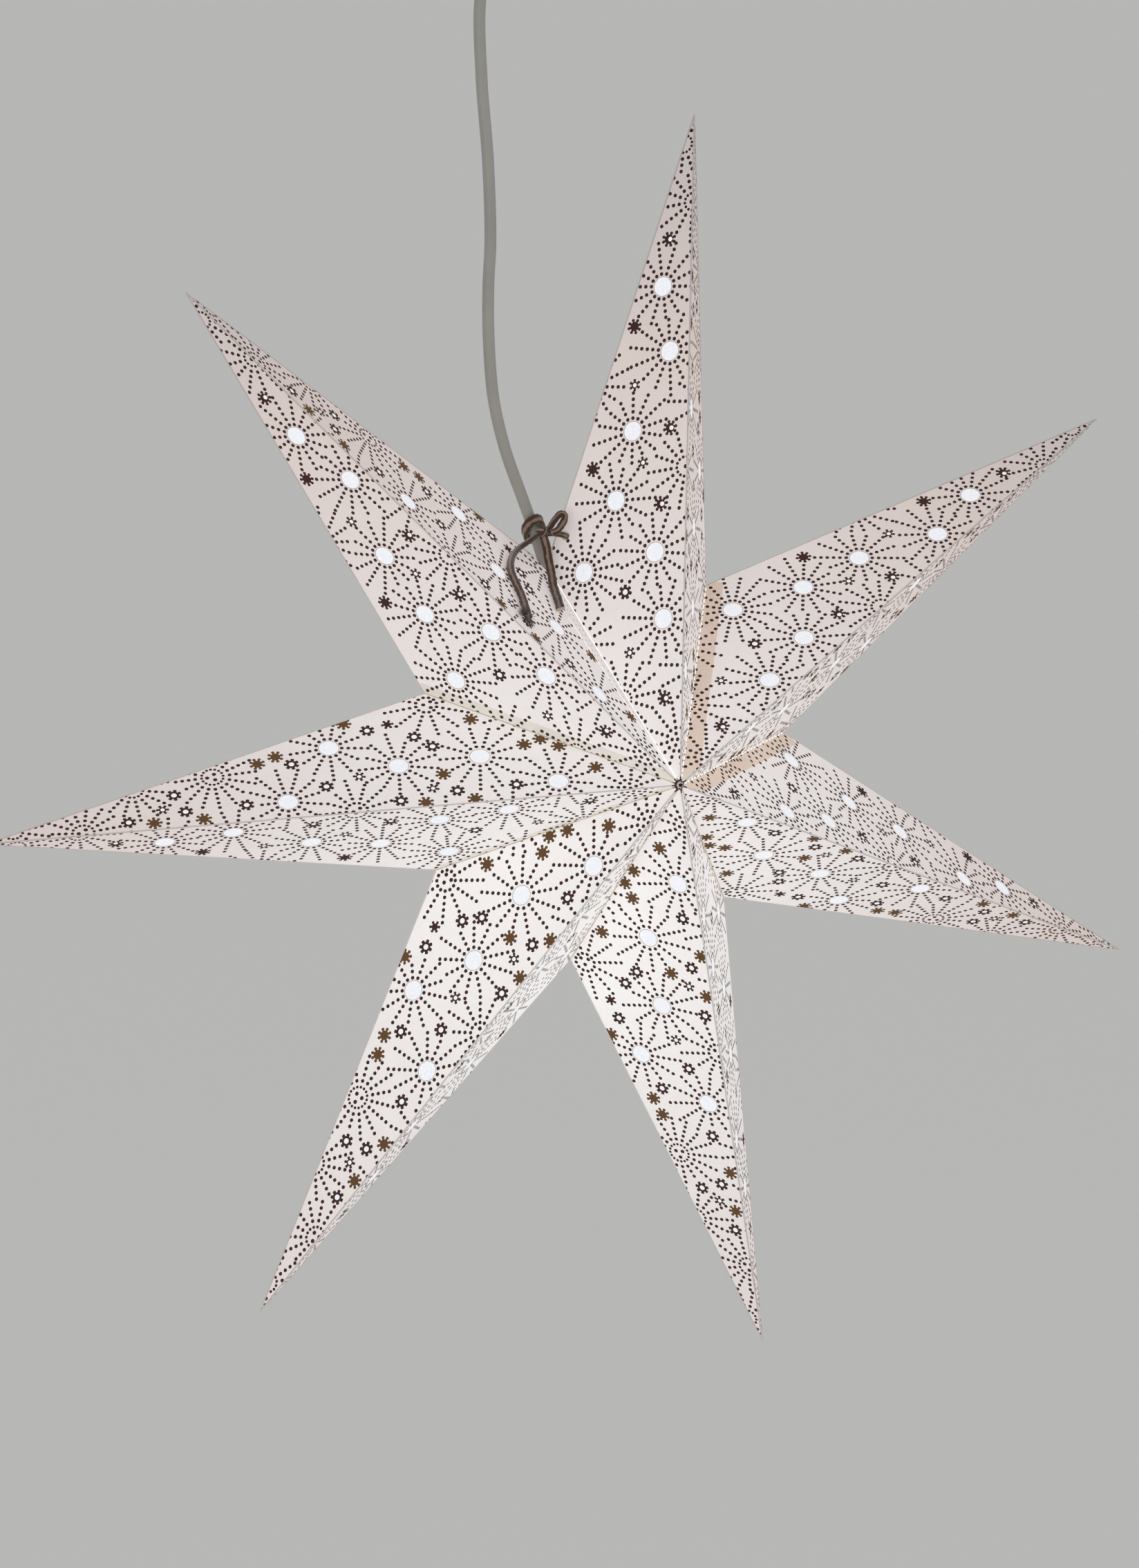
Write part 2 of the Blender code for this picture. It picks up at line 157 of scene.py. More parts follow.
class Graph:
    """A material's node tree, with short calls for the nodes used here."""

    def __init__(self, name, **shader):
        self.made = bpy.data.materials.new(name)
        self.made.use_nodes = True
        self.tree = self.made.node_tree
        self.shader = self.tree.nodes["Principled BSDF"]
        for socket, value in shader.items():
            self.set(socket.replace("_", " "), value)
        self.where = self.tree.nodes.new("ShaderNodeTexCoord").outputs["Object"]

    def set(self, socket, value):
        if isinstance(value, tuple) and len(value) == 3:
            value = (*value, 1.0)
        self.shader.inputs[socket].default_value = value

    def plug(self, output, socket):
        self.tree.links.new(output, self.shader.inputs[socket])

    def node(self, kind, **inputs):
        made = self.tree.nodes.new(kind)
        for name, value in inputs.items():
            target = made.inputs[name.replace("_", " ")]
            if hasattr(value, "is_output"):
                self.tree.links.new(value, target)
            else:
                target.default_value = value
        return made

    def noise(self, scale, detail=3.0, roughness=0.55, where=None):
        return self.node("ShaderNodeTexNoise", Vector=where or self.where, Scale=scale, Detail=detail,
                         Roughness=roughness).outputs["Fac"]

    def maths(self, operation, a, b=0.0, clamp=False):
        made = self.tree.nodes.new("ShaderNodeMath")
        made.operation = operation
        made.use_clamp = clamp
        for k, value in enumerate((a, b)):
            if hasattr(value, "is_output"):
                self.tree.links.new(value, made.inputs[k])
            else:
                made.inputs[k].default_value = value
        return made.outputs[0]

    def ramp(self, factor, stops):
        made = self.node("ShaderNodeValToRGB", Fac=factor)
        ends = made.color_ramp.elements
        while len(ends) < len(stops):
            ends.new(0.5)
        for end, (at, colour) in zip(ends, stops):
            end.position = at
            end.color = (*colour, 1.0)
        return made.outputs["Color"]

    def mix(self, factor, a, b, how="MIX"):
        made = self.tree.nodes.new("ShaderNodeMix")
        made.data_type = "RGBA"
        made.blend_type = how
        for socket, value in ((made.inputs[0], factor), (made.inputs[6], a), (made.inputs[7], b)):
            if hasattr(value, "is_output"):
                self.tree.links.new(value, socket)
            else:
                socket.default_value = (*value, 1.0) if isinstance(value, tuple) else value
        return made.outputs[2]

    def bump(self, height, distance, strength=1.0):
        made = self.node("ShaderNodeBump", Height=height, Distance=distance, Strength=strength)
        self.plug(made.outputs["Normal"], "Normal")

    def distance_from(self, point):
        made = self.tree.nodes.new("ShaderNodeVectorMath")
        made.operation = "DISTANCE"
        self.tree.links.new(self.where, made.inputs[0])
        made.inputs[1].default_value = point
        return made.outputs["Value"]


GLOW_REACH = 0.38
BULB_GLOW_REACH = 0.040
GLOW_STOPS = (0.10, 0.40, 0.72, 1.0)
INNER_GLOW = [(0.210, 0.195, 0.170), (0.145, 0.130, 0.108), (0.085, 0.074, 0.060), (0.035, 0.029, 0.022)]


def glow_ramp(graph, shades):
    """Colour of the lamp's light through the paper, in four shades from near the lamp out to the tips."""
    away = graph.maths("MULTIPLY", graph.distance_from(GLOW_MIDDLE), 1.0 / GLOW_REACH)
    return graph.ramp(away, list(zip(GLOW_STOPS, shades)))


def paper_material(name, tint, shades):
    graph = Graph(name, Roughness=0.86, Specular_IOR_Level=0.25)
    fibres = graph.noise(900.0, 4.0, 0.6)
    clouds = graph.noise(120.0, 3.0)
    dark = tuple(0.93 * c for c in tint)
    graph.plug(graph.mix(fibres, dark, tint), "Base Color")
    glow = glow_ramp(graph, shades)
    # Fibres and clouds vary the painted glow of the lamp's light through the paper.
    glow_flecks = graph.ramp(graph.mix(0.5, fibres, clouds), [(0.30, (0.86, 0.86, 0.86)), (0.70, (1.0, 1.0, 1.0))])
    graph.plug(graph.mix(1.0, glow, glow_flecks, "MULTIPLY"), "Emission Color")
    graph.set("Emission Strength", 1.0)
    graph.bump(fibres, 0.00006, 0.5)
    return graph.made


def ink_material(name, colour, glow):
    graph = Graph(name, Roughness=0.7, Specular_IOR_Level=0.12)
    mottle = graph.noise(1300.0, 2.0)
    light = tuple(1.35 * c for c in colour)
    graph.plug(graph.mix(mottle, colour, light), "Base Color")
    graph.plug(glow_ramp(graph, [glow] * 3 + [(0.0, 0.0, 0.0)]), "Emission Color")
    graph.set("Emission Strength", 1.0)
    return graph.made


def tissue_material():
    graph = Graph("tissue", Base_Color=(0.48, 0.53, 0.58), Roughness=0.9)
    strands = graph.noise(1100.0, 5.0, 0.7)
    glow = graph.ramp(strands, [(0.30, (0.43, 0.42, 0.435)), (0.62, (0.61, 0.59, 0.60))])
    graph.plug(glow, "Emission Color")
    graph.set("Emission Strength", 1.0)
    graph.bump(strands, 0.00005, 0.4)
    return graph.made


def crease_material(name, colour, glow):
    graph = Graph(name, Roughness=0.8)
    wear = graph.noise(700.0, 3.0)
    graph.plug(graph.mix(wear, tuple(0.8 * c for c in colour), colour), "Base Color")
    # The same noise also varies the painted glow along the crease, beside the wear in its colour.
    graph.plug(graph.mix(wear, tuple(0.7 * c for c in glow), glow), "Emission Color")
    graph.set("Emission Strength", 1.0)
    return graph.made


def inner_material():
    graph = Graph("paper_inside", Roughness=0.9)
    fibres = graph.noise(900.0, 4.0, 0.6)
    graph.plug(graph.mix(fibres, (0.58, 0.55, 0.51), (0.70, 0.67, 0.63)), "Base Color")
    graph.plug(glow_ramp(graph, INNER_GLOW), "Emission Color")
    graph.set("Emission Strength", 1.0)
    graph.bump(fibres, 0.00006, 0.5)
    return graph.made


# Curves and tubes

def smooth_route(route, spacing):
    """Evenly spaced points on a Catmull-Rom curve through the route."""
    points = [Vector(p) for p in route]
    points = [2 * points[0] - points[1]] + points + [2 * points[-1] - points[-2]]
    fine = []
    for a, b, c, d in zip(points, points[1:], points[2:], points[3:]):
        for k in range(24):
            t = k / 24
            fine.append(0.5 * (2 * b + (c - a) * t + (2 * a - 5 * b + 4 * c - d) * t ** 2
                               + (3 * b - a - 3 * c + d) * t ** 3))
    fine.append(points[-2])
    lengths = [0.0]
    for p, q in zip(fine, fine[1:]):
        lengths.append(lengths[-1] + (q - p).length)
    count = max(4, round(lengths[-1] / spacing))
    even = []
    at = 0
    for k in range(count + 1):
        wanted = lengths[-1] * k / count
        while at < len(fine) - 2 and lengths[at + 1] < wanted:
            at += 1
        share = (wanted - lengths[at]) / (lengths[at + 1] - lengths[at])
        even.append(fine[at].lerp(fine[at + 1], min(share, 1.0)))
    return even


def piece(name, mesh, body, materials=(), replaces=()):
    for finish in materials:
        mesh.materials.append(finish)
    item = bpy.data.objects.new(name, mesh)
    bpy.context.scene.collection.objects.link(item)
    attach(item, body)
    if replaces:
        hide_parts(*replaces)
    return item


# Cable

CABLE_ROUTE = [
    (-0.0150, 0.0000, 0.4420), (-0.0230, 0.0000, 0.4200), (-0.0380, 0.0000, 0.3950),
    (-0.0530, 0.0000, 0.3720), (-0.0596, 0.0000, 0.3490), (-0.0590, 0.0000, 0.3140),
    (-0.0560, 0.0000, 0.2780), (-0.0548, 0.0000, 0.2433), (-0.0559, 0.0000, 0.2200),
    (-0.0558, 0.0000, 0.1969), (-0.0536, 0.0000, 0.1700), (-0.0478, 0.0000, 0.1460),
    (-0.0395, 0.0000, 0.1240), (-0.0338, 0.0000, 0.1090), (-0.0289, 0.0000, 0.0943),
    (-0.0243, 0.0000, 0.0790), (-0.0212, 0.0000, 0.0670), (-0.0200, 0.0000, HOLDER_TOP + GAP),
]


def cable_material():
    graph = Graph("cable_sheath", Roughness=0.5)
    grain = graph.noise(2600.0, 3.0)
    patches = graph.noise(60.0, 2.0)
    tone = graph.mix(patches, (0.27, 0.262, 0.235), (0.38, 0.365, 0.33))
    graph.plug(graph.mix(graph.maths("MULTIPLY", grain, 0.5), tone, (0.42, 0.405, 0.37)), "Base Color")
    graph.bump(grain, 0.00005, 0.5)
    return graph.made


def strain_relief(name, course, wide, narrow, finish):
    """A ribbed taper round the cable where it leaves a housing."""
    form = bmesh.new()
    rings = []
    for k, place in enumerate(course):
        share = k / (len(course) - 1)
        grooved = k % 3 == 1 and 0 < k < len(course) - 2
        radius = wide + (narrow - wide) * share - (RELIEF_GROOVE if grooved else 0.0)
        onward = (course[min(k + 1, len(course) - 1)] - course[max(k - 1, 0)]).normalized()
        side = onward.cross(Vector((0.0, 1.0, 0.0))).normalized()
        other = onward.cross(side)
        rings.append([form.verts.new(place + (side * cos(a) + other * sin(a)) * radius)
                      for a in (tau * n / RELIEF_SIDES for n in range(RELIEF_SIDES))])
    for ring, after in zip(rings, rings[1:]):
        for n in range(RELIEF_SIDES):
            m = (n + 1) % RELIEF_SIDES
            form.faces.new((ring[n], ring[m], after[m], after[n])).smooth = True
    form.faces.new(rings[0][::-1])
    form.faces.new(rings[-1])
    mesh = bpy.data.meshes.new(name)
    form.to_mesh(mesh)
    form.free()
    return piece(name, mesh, "hanging_star", [finish])


def cable():
    route = smooth_route([PIVOT] + [STAR_CENTRE + Vector(p) for p in CABLE_ROUTE], 0.004)
    curve = bpy.data.curves.new("lamp_cable", "CURVE")
    curve.dimensions = "3D"
    curve.bevel_depth = CABLE_RADIUS
    curve.bevel_resolution = 6
    curve.use_fill_caps = True
    spline = curve.splines.new("POLY")
    spline.points.add(len(route) - 1)
    for point, where in zip(spline.points, route):
        point.co = (*where, 1.0)
    spline.use_smooth = True
    sheath = cable_material()
    item = piece("lamp_cable", curve, "hanging_star", [sheath], ["cable"])
    fine = smooth_route(route, 0.0008)
    reliefs = [
        strain_relief("cable_relief_top", fine[4:32], 0.0039, 0.0030, sheath),
        strain_relief("cable_relief_holder", fine[::-1][1:31], 0.0056, 0.0031, sheath),
    ]


# Print on the paper, with lengths in millimetres in the panel's plane

RIDGE_LENGTH = 312.5
VALLEY_CORNER = (106.7, 72.8)
VALLEY_LENGTH = 129.2
FLANGE_REACH = 97.0
FLANGE_WIDTH = 9.0
EDGE_INSET = 0.38
WINDOW_RADIUS = 4.5
RIM_WIDTH = 0.28
DOT_RADIUS = 0.94
DOT_PITCH = 2.95
CROWDED_DOT = 0.38
CENTRE_DOT_RADIUS = 1.02
CLOSEST_DOTS = 1.9
FLOWER_MARGIN = 0.8
BURST_MARGIN = 1.0
DOTS_PER_RAY = 6

# Windows and plain bursts are (u, v, rays, turn of the first ray in degrees, radius of the first dot)
LEFT_WINDOWS = [
    (77.2, 10.7, 14, 7.0, 6.2), (108.5, 15.7, 14, 6.0, 6.3), (102.0, 52.8, 16, 7.0, 6.1),
    (134.2, 36.8, 14, 12.0, 5.9), (166.1, 28.8, 14, 0.0, 6.1), (201.9, 10.3, 14, 3.0, 6.0),
    (232.7, 14.6, 14, 7.5, 6.0),
]
LEFT_BURSTS = [
    (21.1, 1.9, 12, 11.0, 5.5), (41.3, 30.4, 14, 21.0, 4.1), (147.1, 0.7, 14, 17.0, 4.6),
    (271.2, 0.0, 13, 11.5, 4.0), (68.0, 56.0, 15, 4.5, 4.6), (189.0, 50.0, 14, 7.0, 4.3),
    (299.0, 5.0, 14, 20.0, 4.1),
]
LEFT_FLOWERS = [
    ("punched", 40.4, 9.0), ("punched", 130.7, 13.2), ("punched", 165.8, 9.2), ("punched", 254.7, 11.9),
    ("centred", 91.1, 30.8), ("small", 62.7, 27.7), ("small", 150.8, 23.0), ("small", 187.6, 28.2),
    ("solid", 150.0, 49.3), ("solid", 215.3, 29.0),
]
RIGHT_WINDOWS = [
    (54.3, 9.0, 13, 25.5, 6.0), (87.2, 29.0, 13, 0.0, 6.3), (124.5, 27.3, 13, 25.5, 6.1),
    (154.4, 42.4, 13, 21.0, 5.9), (176.5, 10.3, 13, 25.5, 5.9),
]
RIGHT_BURSTS = [
    (22.6, 0.8, 12, 10.5, 5.5), (107.0, 65.0, 12, 21.0, 4.9), (146.5, 1.0, 13, 25.5, 4.9),
    (208.5, 30.0, 16, 18.5, 4.9), (269.0, 1.5, 15, 4.0, 4.9), (64.0, 56.0, 16, 5.5, 4.3),
    (245.0, 26.0, 15, 0.0, 4.8), (300.0, 6.0, 14, 16.0, 4.4),
]
BURST_CENTRES = {
    "left": [(41.3, 30.4), (147.1, 0.7), (271.2, 0.6)],
    "right": [(105.1, 63.1), (108.3, 65.2), (104.9, 66.9), (145.0, 2.5), (148.2, 0.6), (267.8, 3.5),
              (271.1, 1.5), (267.6, 0.2), (207.4, 28.2), (210.9, 29.7), (207.6, 31.7)],
}
RIGHT_FLOWERS = [
    ("centred", 73.3, 9.2), ("centred", 100.2, 8.4), ("centred", 126.2, 5.0), ("centred", 107.6, 37.9),
    ("centred", 115.1, 45.0), ("centred", 135.8, 51.5), ("centred", 158.3, 18.0), ("centred", 172.3, 34.0),
    ("centred", 195.1, 10.6), ("centred", 222.6, 9.6), ("centred", 248.4, 5.8), ("centred", 226.8, 20.5),
    ("small", 110.9, 11.2), ("small", 142.9, 22.5), ("small", 232.7, 12.0),
    ("star", 126.2, 54.4),
    ("bronze", 36.2, 15.8), ("bronze", 92.9, 2.4), ("bronze", 115.2, 2.6), ("bronze", 105.1, 19.6),
    ("bronze", 66.3, 34.2), ("bronze", 50.8, 31.4), ("bronze", 58.4, 36.9), ("bronze", 88.1, 53.3),
    ("bronze", 187.6, 35.9), ("bronze", 179.0, 39.5), ("bronze", 215.0, 4.0), ("bronze", 237.1, 4.0),
    ("bronze", 146.0, 57.0),
]

# Material places on a panel
PAPER_FACE, INK, BRONZE, BAND, INSIDE, RIM, CREASE, LIT_CREASE, DIM_LIT_CREASE, FLANGE, FAINT_BAND = range(11)

# Glue band that shows through each arm's left panel as painted shade of the flange behind, darker paper with
# a weaker glow, as its place and width; none at the open seam
GLUE_BANDS = {
    1: (BAND, 8.0), 2: (BAND, 8.0), 3: (FAINT_BAND, 2.5), 4: (FAINT_BAND, 2.5), 5: (FAINT_BAND, 3.5),
    6: (FAINT_BAND, 5.5),
}

# Perforated creases are bright dashes of painted lamplight in the slits; the dim ones are weaker painted
# light with painted shade in the valley.
PERFORATED = [(LIT_CREASE, 0.0031), (INK, 0.0008)]
DIM_PERFORATED = [(DIM_LIT_CREASE, 0.0030), (CREASE, 0.0008)]
# Fold beads use the darker crease paper, painted shade along the folds.
FOLDED = [(CREASE, 1.0)]
BRIGHT_FOLD = [(LIT_CREASE, 1.0)]


def circle(centre, radius, count, turn=0.0):
    angles = [turn + tau * k / count for k in range(count)]
    return [(centre[0] + radius * cos(a), centre[1] + radius * sin(a)) for a in angles]


def petals(centre, count, turn, profile):
    """Outline of a flower whose petals follow the profile of (radius, half width)."""
    outline = []
    for k in range(count):
        a = turn + tau * k / count
        side = [(r, -w) for r, w in profile] + [(r, w) for r, w in reversed(profile)]
        for r, w in side:
            outline.append((centre[0] + r * cos(a) - w * sin(a), centre[1] + r * sin(a) + w * cos(a)))
    return outline


PETAL = [(1.80, 0.50), (2.40, 0.55), (2.80, 0.72), (3.25, 0.78), (3.58, 0.56), (3.78, 0.22)]
ROUND_PETAL = [(2.00, 0.60), (2.35, 0.70), (2.78, 0.86), (3.20, 0.80), (3.52, 0.44)]
SMALL_PETAL = [(1.40, 0.45), (1.80, 0.52), (2.25, 0.70), (2.65, 0.66), (2.95, 0.34)]


def flower(kind, u, v, turn):
    """The ink outlines and punched openings of one printed flower."""
    if kind == "small":
        return [(INK, petals((u, v), 6, turn, SMALL_PETAL)), (INK, circle((u, v), 1.65, 18))], [
            circle((u, v), 1.0, 14)]
    if kind == "star":
        return [(INK, petals((u, v), 6, turn, SMALL_PETAL)), (INK, circle((u, v), 1.65, 18))], []
    if kind == "centred":
        return [(INK, petals((u, v), 7, turn, ROUND_PETAL)), (INK, circle((u, v), 2.4, 21))], [
            circle((u, v), 1.3, 16)]
    ink = BRONZE if kind == "bronze" else INK
    drawn = [(ink, petals((u, v), 8, turn, PETAL)), (ink, circle((u, v), 2.2, 24))]
    return drawn, [circle((u, v - 0.7), 1.1, 14)] if kind == "punched" else []


FLOWER_RADIUS = {"small": 2.7, "star": 2.7, "centred": 3.3, "bronze": 3.5, "solid": 3.5, "punched": 3.5}


def far_from(u, v, places, distance):
    return all((u - a) ** 2 + (v - b) ** 2 > distance ** 2 for a, b in places)


def burst_dots(bursts, flowers):
    """Rays of dots round every window and plain burst, as each dot's size by its place.

    A ray stops where the next burst begins, and dots that crowd round a plain burst are smaller.
    """
    sizes = {}
    for n, (cu, cv, rays, turn, first) in enumerate(bursts):
        others = [b[:2] for b in bursts[:n] + bursts[n + 1:]]
        mine = {}
        for ray in range(rays):
            a = radians(turn) + tau * ray / rays
            for k in range(DOTS_PER_RAY):
                r = first + DOT_PITCH * k
                u, v = cu + r * cos(a), cv + r * sin(a)
                clear = all(far_from(u, v, [(fu, fv)], FLOWER_RADIUS[kind] + FLOWER_MARGIN)
                            for kind, fu, fv in flowers)
                clear = clear and far_from(u, v, others, r - BURST_MARGIN)
                if not (clear and far_from(u, v, sizes, CLOSEST_DOTS)):
                    break
                mine[(u, v)] = min(DOT_RADIUS, CROWDED_DOT * tau * r / rays)
        sizes.update(mine)
    return sizes


def across_ridge(bursts):
    """Bursts of the arm's other panel, whose rays run on over the ridge."""
    return [(u, -v, rays, -turn, first) for u, v, rays, turn, first in bursts]


def layout(windows, bursts, beyond, flowers, centres):
    """Every ink outline with its material place, and every opening, of one panel's print."""
    dots = burst_dots(windows + bursts + across_ridge(beyond), flowers)
    ink = [(INK, circle(p, size, 9)) for p, size in dots.items() if p[1] > -1.0]
    ink += [(INK, circle(p, CENTRE_DOT_RADIUS, 12)) for p in centres]
    nearest = bursts[0][:2]
    ink += [(INK, circle(p, DOT_RADIUS, 9)) for p in [nearest] + circle(nearest, 2.8, 5, 0.3)]
    # A dark ink disc at the star's point: printed dots there with painted shade of the small hole.
    ink.append((INK, circle((0.0, 0.0), 2.8, 12)))
    # A grey ring at each window's cut edge: the paper's edge, darkened as painted shade.
    ink += [(RIM, circle(p, WINDOW_RADIUS + RIM_WIDTH, 32)) for p in windows]
    openings = [circle(p, WINDOW_RADIUS, 32) for p in windows]
    for n, (kind, u, v) in enumerate(flowers):
        drawn, punched = flower(kind, u, v, 0.9 * n)
        ink += drawn
        openings += punched
    return ink, openings


def inset(corners, distance):
    """Moves the edges of a convex outline inwards by a distance."""
    moved = []
    for k, corner in enumerate(corners):
        back = (corners[k - 1] - corner).normalized()
        on = (corners[(k + 1) % len(corners)] - corner).normalized()
        moved.append(corner + (back + on) * (distance / abs(back.cross(on))))
    return moved


def panel_outline(at_seam):
    apex, point, hollow = Vector((0.0, 0.0)), Vector((RIDGE_LENGTH, 0.0)), Vector(VALLEY_CORNER)
    if not at_seam:
        return inset([apex, point, hollow], EDGE_INSET)
    to_apex = (apex - hollow).normalized() * CABLE_NOTCH / MM
    to_point = (point - hollow).normalized() * CABLE_NOTCH / MM
    return inset([apex, point, hollow + to_point, hollow + to_apex], EDGE_INSET)


def band_outline(width):
    """The strip along the valley where the neighbour's glue flange lies behind the paper, painted darker as
    the flange's shade.
    """
    along = Vector(VALLEY_CORNER).normalized()
    across = Vector((along.y, -along.x)) * width
    start, end = along * 7.0, Vector(VALLEY_CORNER) * 1.02
    return [tuple(start * 0.4), tuple(start + across), tuple(end + across), tuple(end)]


def seam_flange():
    """The unprinted glue flange folded back at the open seam, with faint dots of painted shadow from the
    print behind it and a painted highlight along its bright fold.
    """
    along = Vector(VALLEY_CORNER).normalized()
    across = Vector((along.y, -along.x))
    corner = along * FLANGE_REACH + across * FLANGE_WIDTH
    drawn = [(FLANGE, [(0.0, 0.0), tuple(corner), VALLEY_CORNER])]
    for k in range(9, 40):
        reach = 3.0 * k
        if reach < FLANGE_REACH:
            width = FLANGE_WIDTH * reach / FLANGE_REACH
        else:
            width = FLANGE_WIDTH * (VALLEY_LENGTH - reach) / (VALLEY_LENGTH - FLANGE_REACH)
        for n in range(1, 4):
            if 2.7 * n < width - 0.9:
                # Faint dots: painted shadow of the print on the flange's other face.
                drawn.append((RIM, circle(along * reach + across * (2.7 * n + 0.6 * (k % 2)), 0.42, 7)))
    # The flange's fold is drawn bright as a painted highlight.
    edge = Vector((-corner.y, corner.x)).normalized() * 0.20
    drawn.append((LIT_CREASE, [tuple(-edge), tuple(corner - edge), tuple(corner + edge), tuple(edge)]))
    return drawn


def triangulate(outline, ink, openings, band):
    """Flat triangles of one panel as (points, triangles with their material place)."""
    loops = [[tuple(p) for p in outline]] + ([band[1]] if band else []) + [o for _, o in ink] + openings
    first_ink = 1 + bool(band)
    first_opening = first_ink + len(ink)
    coords = []
    faces = []
    for loop in loops:
        faces.append(list(range(len(coords), len(coords) + len(loop))))
        coords += [Vector(p) for p in loop]
    points, _, triangles, _, _, origins = delaunay_2d_cdt(coords, [], faces, 1, 1e-5, True)
    kept = []
    for corners, origin in zip(triangles, origins):
        if 0 not in origin or any(o >= first_opening for o in origin):
            continue
        inks = [o for o in origin if o >= first_ink]
        place = ink[max(inks) - first_ink][0] if inks else (band[0] if band and 1 in origin else PAPER_FACE)
        kept.append((corners, place))
    return points, kept


def boundary(triangles):
    """Directed edges that only one triangle uses."""
    edges = {}
    for corners, _ in triangles:
        for a, b in zip(corners, corners[1:] + corners[:1]):
            edges[(a, b)] = True
    return [(a, b) for a, b in edges if (b, a) not in edges]


def middle_of(loop):
    return sum((Vector(p) for p in loop), Vector((0.0, 0.0))) / len(loop)


def in_opening(place, openings):
    for loop in openings:
        middle = middle_of(loop)
        if (place - middle).length < (Vector(loop[0]) - middle).length:
            return True
    return False


def panel_sheet(outline, ink, openings, band):
    """The printed outer face, the rim of its edges and openings, and the plain inner face."""
    points, triangles = triangulate(outline, ink, openings, band)
    rim = boundary(triangles)
    used = sorted({a for edge in rim for a in edge})
    at = {old: new for new, old in enumerate(used)}
    inner_points, _, inner, _, _, _ = delaunay_2d_cdt(
        [points[a] for a in used], [(at[a], at[b]) for a, b in rim], [], 1, 1e-6, False)
    inner = [t for t in inner if not in_opening(middle_of([inner_points[c] for c in t]), openings)]
    return points, triangles, rim, used, inner_points, inner


# Paper star: where the panels are

def in_star_plane(radius, angle):
    return STAR_CENTRE + Vector((radius * sin(angle), 0.0, radius * cos(angle)))


def tip(arm):
    return in_star_plane(TIP_RADIUS, FIRST_TIP + tau * arm / ARMS)


def valley(arm):
    """The valley point clockwise of an arm."""
    return in_star_plane(VALLEY_RADIUS, FIRST_TIP + tau * arm / ARMS + pi / ARMS)


def panel_axes(arm, depth, side):
    """The panel's corner at the middle of the star and its u, v and outward directions."""
    apex = STAR_CENTRE + Vector((0.0, -HALF_DEPTH if depth == "front" else HALF_DEPTH, 0.0))
    hollow = valley(arm) if side == "right" else valley(arm - 1)
    u = (tip(arm) - apex).normalized()
    to_hollow = hollow - apex
    v = (to_hollow - u * to_hollow.dot(u)).normalized()
    out = u.cross(v)
    if out.dot(apex - STAR_CENTRE) < 0:
        out.negate()
    return apex, u, v, out


def body_of(arm, depth, side):
    if (arm, depth, side) == (0, "front", "left"):
        return "hanging_star"
    return f"fold_{arm + 1}_{depth}_{side}"


def bead(form, start, end, dashes):
    """A closed bead along a crease, its length shared out between material places in turn."""
    course = end - start
    total = course.length
    course.normalize()
    side = course.orthogonal().normalized()
    other = course.cross(side)

    def ring(at):
        return [form.verts.new(start + course * at + (side * cos(a) + other * sin(a)) * CREASE_RADIUS)
                for a in (tau * n / CREASE_SIDES for n in range(CREASE_SIDES))]

    rings = [ring(0.0)]
    first = rings[0]
    at = 0.0
    turn = 0
    while at < total - 1e-6:
        place, length = dashes[turn % len(dashes)]
        at = min(at + length, total)
        rings.append(ring(at))
        for n in range(CREASE_SIDES):
            m = (n + 1) % CREASE_SIDES
            made = form.faces.new((rings[-2][n], rings[-2][m], rings[-1][m], rings[-1][n]))
            made.material_index = place
        turn += 1
    form.faces.new(first[::-1]).material_index = CREASE
    form.faces.new(rings[-1]).material_index = CREASE


def panel_mesh(name, sheet, axes, beads):
    points, triangles, rim, used, inner_points, inner = sheet
    apex, u, v, out = axes
    flip = u.cross(v).dot(out) < 0
    form = bmesh.new()

    def vert(p, lift):
        return form.verts.new(apex + u * (p.x * MM) + v * (p.y * MM) + out * lift)

    def face(corners, place):
        made = form.faces.new(corners[::-1] if flip else corners)
        made.material_index = place

    upper = [vert(p, PAPER / 2) for p in points]
    lower = [vert(p, -PAPER / 2) for p in inner_points]
    for corners, place in triangles:
        face([upper[c] for c in corners], place)
    for corners in inner:
        face([lower[c] for c in corners][::-1], INSIDE)
    at = {old: new for new, old in enumerate(used)}
    for a, b in rim:
        if max(at[a], at[b]) < len(lower):
            face([upper[b], upper[a], lower[at[a]], lower[at[b]]], INSIDE)
    for course in beads:
        bead(form, *course)
    loose = [x for x in form.verts if not x.link_faces]
    bmesh.ops.delete(form, geom=loose, context="VERTS")
    mesh = bpy.data.meshes.new(name)
    form.to_mesh(mesh)
    form.free()
    return mesh


def tissue_mesh(name, axes, openings):
    """A thin disc of tissue glued behind each opening."""
    apex, u, v, out = axes
    flip = u.cross(v).dot(out) < 0
    form = bmesh.new()
    for loop in openings:
        middle = middle_of(loop)
        rings = []
        for lift in (-PAPER / 2 - TISSUE_GAP, -PAPER / 2 - TISSUE_GAP - TISSUE):
            grown = [middle + (Vector(p) - middle) * TISSUE_LAP for p in loop]
            rings.append([form.verts.new(apex + u * (p.x * MM) + v * (p.y * MM) + out * lift) for p in grown])
        form.faces.new(rings[0][::-1] if flip else rings[0])
        form.faces.new(rings[1] if flip else rings[1][::-1])
        for k in range(len(loop)):
            n = (k + 1) % len(loop)
            walls = [rings[0][n], rings[0][k], rings[1][k], rings[1][n]]
            form.faces.new(walls[::-1] if flip else walls)
    mesh = bpy.data.meshes.new(name)
    form.to_mesh(mesh)
    form.free()
    return mesh


def inside_panel(loop, at_seam):
    """True for an opening that lies wholly on the panel."""
    outline = panel_outline(at_seam)
    for p in loop:
        for a, b in zip(outline, outline[1:] + outline[:1]):
            if (b - a).cross(Vector(p) - a) < 0:
                return False
    return True


